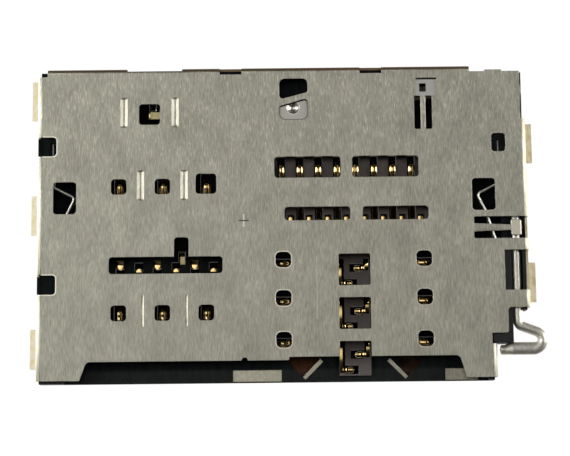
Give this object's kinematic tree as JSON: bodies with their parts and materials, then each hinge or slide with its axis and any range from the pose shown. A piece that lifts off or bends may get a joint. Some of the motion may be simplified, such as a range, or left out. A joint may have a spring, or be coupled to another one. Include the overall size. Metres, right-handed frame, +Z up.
{
  "type": "sim card socket",
  "caption": "Low board-mounted tray socket for sim and memory cards: windowed steel shell on a black base, gold spring contacts, side lock springs and a wire eject rod with a hidden lever.",
  "frame": {"origin": "middle of the footprint on the board plane", "axes": "+Z up from the board, +X to the rod's side, the tray goes in along +Y"},
  "size_m": [0.0303, 0.0186, 0.0014],
  "materials": {
    "shell_steel": "fine grain, satin",
    "black_plastic": "moulded, matte",
    "wire_steel": "drawn wire",
    "lever_steel": "stamped",
    "spring_steel": "rolled strip",
    "insert_steel": "stamped",
    "gold_plate": "thin gold plating"
  },
  "bodies": {
    "socket": {"shell": "shell_steel", "housing": "black_plastic", "lock_spring_left": "spring_steel", "lock_spring_right": "spring_steel", "switch_spring": "gold_plate", "switch_terminal": "gold_plate", "mouth_plate_left": "insert_steel", "mouth_plate_right": "insert_steel", "memory_contact_1": "gold_plate", "memory_contact_2": "gold_plate", "memory_contact_3": "gold_plate", "memory_contact_4": "gold_plate", "memory_contact_5": "gold_plate", "memory_contact_6": "gold_plate", "memory_contact_7": "gold_plate", "memory_contact_8": "gold_plate", "sim_a_contact_1": "gold_plate", "sim_a_contact_2": "gold_plate", "sim_a_contact_3": "gold_plate", "sim_a_contact_4": "gold_plate", "sim_a_contact_5": "gold_plate", "sim_a_contact_6": "gold_plate", "sim_b_contact_1": "gold_plate", "sim_b_contact_2": "gold_plate", "sim_b_contact_3": "gold_plate", "sim_b_contact_4": "gold_plate", "sim_b_contact_5": "gold_plate", "sim_b_contact_6": "gold_plate"},
    "rod": {"eject_rod": "wire_steel"},
    "lever": {"eject_lever": "lever_steel"}
  },
  "joints": [
    {"name": "rod_slide", "type": "slide", "parent": "socket", "child": "rod", "axis": [0, -1, 0], "range_m": [0, 0.002]},
    {"name": "lever_turn", "type": "hinge", "parent": "socket", "child": "lever", "pos_m": [0.00069, 0.00686, 0.00095], "axis": [0, 0, -1], "range_deg": [0, 8.91]}
  ],
  "couplings": [
    {"joint": "lever_turn", "follows": "rod_slide", "rad_per_m": 77.724}
  ]
}
